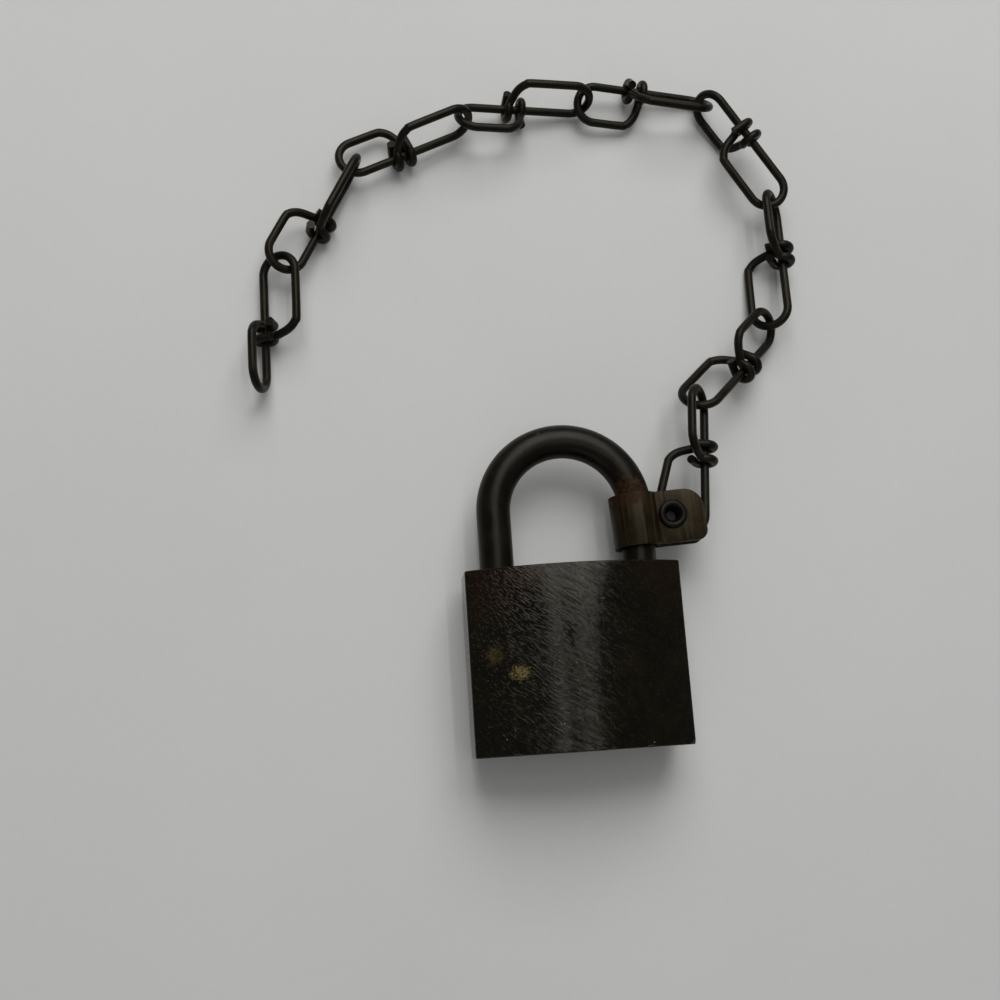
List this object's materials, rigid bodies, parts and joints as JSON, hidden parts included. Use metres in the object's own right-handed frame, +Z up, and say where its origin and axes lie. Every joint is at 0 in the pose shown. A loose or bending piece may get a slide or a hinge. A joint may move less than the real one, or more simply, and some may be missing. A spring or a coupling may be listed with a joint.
{
  "type": "padlock with chain",
  "caption": "Solid-body pin tumbler padlock with a round shackle, a riveted strap clip on the heel leg and a knotted double-loop wire chain.",
  "frame": {"origin": "middle of the footprint on the surface that the padlock and its chain lie on", "axes": "+Z up, out of the padlock's front face; +Y along the shackle legs, from the keyway face to the bow; +X to the heel leg with the clip"},
  "size_m": [0.1232, 0.1526, 0.0207],
  "materials": {
    "body_patina": "near-black worn patina, fine slanting scratches",
    "shackle_steel": "dark oxidised steel with rust near the clip",
    "clip_brass": "dark brown brass strap, bright rubbed streaks",
    "rivet_steel": "blackened steel",
    "chain_wire": "black to olive-brown wire",
    "cylinder_brass": "plain turned brass",
    "pin_brass": "plain brass",
    "lock_steel": "plain steel",
    "spring_steel": "bright spring wire"
  },
  "bodies": {
    "lock": {"lock_body": "body_patina", "cylinder_shell": "cylinder_brass", "core_screw": "lock_steel", "spring_cover": "cylinder_brass", "shackle_spring": "spring_steel", "pin_spring_1": "spring_steel", "pin_spring_2": "spring_steel", "pin_spring_3": "spring_steel", "pin_spring_4": "spring_steel", "pin_spring_5": "spring_steel"},
    "plug_core": {"plug": "cylinder_brass", "plug_retainer": "lock_steel", "actuator": "lock_steel"},
    "toe_ball": {"ball_toe": "lock_steel"},
    "heel_ball": {"ball_heel": "lock_steel"},
    "shackle": {"shackle": "shackle_steel"},
    "clip": {"chain_clip": "clip_brass", "clip_rivet": "rivet_steel"},
    "key_pin_1": {"key_pin_1": "pin_brass"},
    "driver_pin_1": {"driver_pin_1": "lock_steel"},
    "key_pin_2": {"key_pin_2": "pin_brass"},
    "driver_pin_2": {"driver_pin_2": "lock_steel"},
    "key_pin_3": {"key_pin_3": "pin_brass"},
    "driver_pin_3": {"driver_pin_3": "lock_steel"},
    "key_pin_4": {"key_pin_4": "pin_brass"},
    "driver_pin_4": {"driver_pin_4": "lock_steel"},
    "key_pin_5": {"key_pin_5": "pin_brass"},
    "driver_pin_5": {"driver_pin_5": "lock_steel"},
    "link_1": {"chain_link_1": "chain_wire"},
    "link_2": {"chain_link_2": "chain_wire"},
    "link_3": {"chain_link_3": "chain_wire"},
    "link_4": {"chain_link_4": "chain_wire"},
    "link_5": {"chain_link_5": "chain_wire"},
    "link_6": {"chain_link_6": "chain_wire"},
    "link_7": {"chain_link_7": "chain_wire"},
    "link_8": {"chain_link_8": "chain_wire"},
    "link_9": {"chain_link_9": "chain_wire"}
  },
  "joints": [
    {"name": "shackle_lift", "type": "slide", "parent": "lock", "child": "shackle", "axis": [0, 1, 0], "range_m": [0, 0.0105], "deforming": ["shackle_spring"]},
    {"name": "plug_turn", "type": "hinge", "parent": "lock", "child": "plug_core", "pos_m": [0.00315, -0.06425, 0.01037], "axis": [0, 1, 0], "range_deg": [0, 90]},
    {"name": "toe_ball_slide", "type": "slide", "parent": "lock", "child": "toe_ball", "axis": [1, 0, 0], "range_m": [0, 0.00225]},
    {"name": "heel_ball_slide", "type": "slide", "parent": "lock", "child": "heel_ball", "axis": [-1, 0, 0], "range_m": [0, 0.0014]},
    {"name": "key_pin_1_slide", "type": "slide", "parent": "plug_core", "child": "key_pin_1", "axis": [-1, 0, 0], "range_m": [-0.0012, 0]},
    {"name": "driver_pin_1_slide", "type": "slide", "parent": "lock", "child": "driver_pin_1", "axis": [-1, 0, 0], "range_m": [-0.0012, 0], "deforming": ["pin_spring_1"]},
    {"name": "key_pin_2_slide", "type": "slide", "parent": "plug_core", "child": "key_pin_2", "axis": [-1, 0, 0], "range_m": [-0.0012, 0]},
    {"name": "driver_pin_2_slide", "type": "slide", "parent": "lock", "child": "driver_pin_2", "axis": [-1, 0, 0], "range_m": [-0.0012, 0], "deforming": ["pin_spring_2"]},
    {"name": "key_pin_3_slide", "type": "slide", "parent": "plug_core", "child": "key_pin_3", "axis": [-1, 0, 0], "range_m": [-0.0012, 0]},
    {"name": "driver_pin_3_slide", "type": "slide", "parent": "lock", "child": "driver_pin_3", "axis": [-1, 0, 0], "range_m": [-0.0012, 0], "deforming": ["pin_spring_3"]},
    {"name": "key_pin_4_slide", "type": "slide", "parent": "plug_core", "child": "key_pin_4", "axis": [-1, 0, 0], "range_m": [-0.0012, 0]},
    {"name": "driver_pin_4_slide", "type": "slide", "parent": "lock", "child": "driver_pin_4", "axis": [-1, 0, 0], "range_m": [-0.0012, 0], "deforming": ["pin_spring_4"]},
    {"name": "key_pin_5_slide", "type": "slide", "parent": "plug_core", "child": "key_pin_5", "axis": [-1, 0, 0], "range_m": [-0.0012, 0]},
    {"name": "driver_pin_5_slide", "type": "slide", "parent": "lock", "child": "driver_pin_5", "axis": [-1, 0, 0], "range_m": [-0.0012, 0], "deforming": ["pin_spring_5"]},
    {"name": "clip_swivel", "type": "hinge", "parent": "shackle", "child": "clip", "pos_m": [0.01819, -0.0295, 0.01037], "axis": [0, 1, 0], "range_deg": [-100, 100]},
    {"name": "link_1_swing", "type": "hinge", "parent": "clip", "child": "link_1", "pos_m": [0.02803, -0.02807, 0.01052], "axis": [0, 0, 1], "range_deg": [-40, 16]},
    {"name": "link_2_swing", "type": "hinge", "parent": "link_1", "child": "link_2", "pos_m": [0.03325, -0.0029, 0.01164], "axis": [0, 0, -1], "range_deg": [-8, 45]},
    {"name": "link_3_swing", "type": "hinge", "parent": "link_2", "child": "link_3", "pos_m": [0.05429, 0.01548, 0.00456], "axis": [0, 0, 1], "range_deg": [-14, 41]},
    {"name": "link_4_swing", "type": "hinge", "parent": "link_3", "child": "link_4", "pos_m": [0.05764, 0.04449, 0.00656], "axis": [0, 0, -1], "range_deg": [-29, 23]},
    {"name": "link_5_swing", "type": "hinge", "parent": "link_4", "child": "link_5", "pos_m": [0.0443, 0.06974, 0.00535], "axis": [0, 0, 1], "range_deg": [-42, 15]},
    {"name": "link_6_swing", "type": "hinge", "parent": "link_5", "child": "link_6", "pos_m": [0.01586, 0.0705, 0.00493], "axis": [0, 0, -1], "range_deg": [-18, 8]},
    {"name": "link_7_swing", "type": "hinge", "parent": "link_6", "child": "link_7", "pos_m": [-0.01222, 0.06637, 0.00661], "axis": [0, 0, 1], "range_deg": [-43, 15]},
    {"name": "link_8_swing", "type": "hinge", "parent": "link_7", "child": "link_8", "pos_m": [-0.03851, 0.05674, 0.0049], "axis": [0, 0, -1], "range_deg": [-45, 13]},
    {"name": "link_9_swing", "type": "hinge", "parent": "link_8", "child": "link_9", "pos_m": [-0.0548, 0.0333, 0.00568], "axis": [0, 0, 1], "range_deg": [-8, 36]}
  ],
  "couplings": [
    {"joint": "plug_turn", "follows": "shackle_lift", "rad_per_m": 149.59},
    {"joint": "toe_ball_slide", "follows": "shackle_lift", "ratio": 0.2142},
    {"joint": "heel_ball_slide", "follows": "shackle_lift", "ratio": 0.1333},
    {"joint": "driver_pin_1_slide", "follows": "key_pin_1_slide", "ratio": 1},
    {"joint": "driver_pin_2_slide", "follows": "key_pin_2_slide", "ratio": 1},
    {"joint": "driver_pin_3_slide", "follows": "key_pin_3_slide", "ratio": 1},
    {"joint": "driver_pin_4_slide", "follows": "key_pin_4_slide", "ratio": 1},
    {"joint": "driver_pin_5_slide", "follows": "key_pin_5_slide", "ratio": 1}
  ]
}
